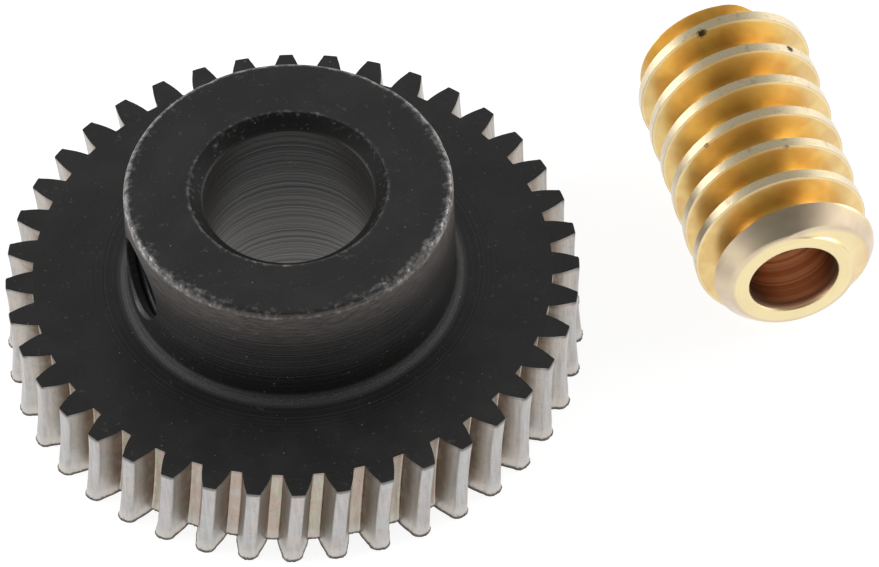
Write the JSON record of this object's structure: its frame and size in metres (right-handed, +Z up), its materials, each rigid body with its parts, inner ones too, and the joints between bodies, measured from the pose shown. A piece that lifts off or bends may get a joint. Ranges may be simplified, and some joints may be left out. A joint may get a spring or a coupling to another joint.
{
  "type": "worm gear set",
  "caption": "Worm gear set: a blackened steel worm wheel with a bored hub and set screw, and the bored brass worm that drives it, laid out side by side.",
  "frame": {"origin": "middle of the pair's footprint on the surface that both gears lie on", "axes": "+Z up along the wheel's axis, out of its hub; the worm's axis runs along Y; +X from the wheel towards the worm"},
  "size_m": [0.0504, 0.0336, 0.0137],
  "materials": {
    "blackened_steel": "black oxide over turned steel, with bright bare steel where the teeth were cut afterwards",
    "dark_steel": "black oxide, slightly oily",
    "turned_brass": "bare machined brass, bright on the lands and golden in the groove"
  },
  "bodies": {
    "wheel": {"worm_wheel": "blackened_steel"},
    "screw": {"set_screw": "dark_steel"},
    "worm": {"worm": "turned_brass"}
  },
  "joints": [
    {"name": "worm_spin", "type": "hinge", "parent": "wheel", "child": "worm", "pos_m": [0.01987, 0.0012, 0.0053], "axis": [0, 1, 0], "continuous": true},
    {"name": "set_screw_travel", "type": "slide", "parent": "wheel", "child": "screw", "axis": [-0.9914, -0.1305, 0], "range_m": [-0.0008, 0.004]}
  ]
}
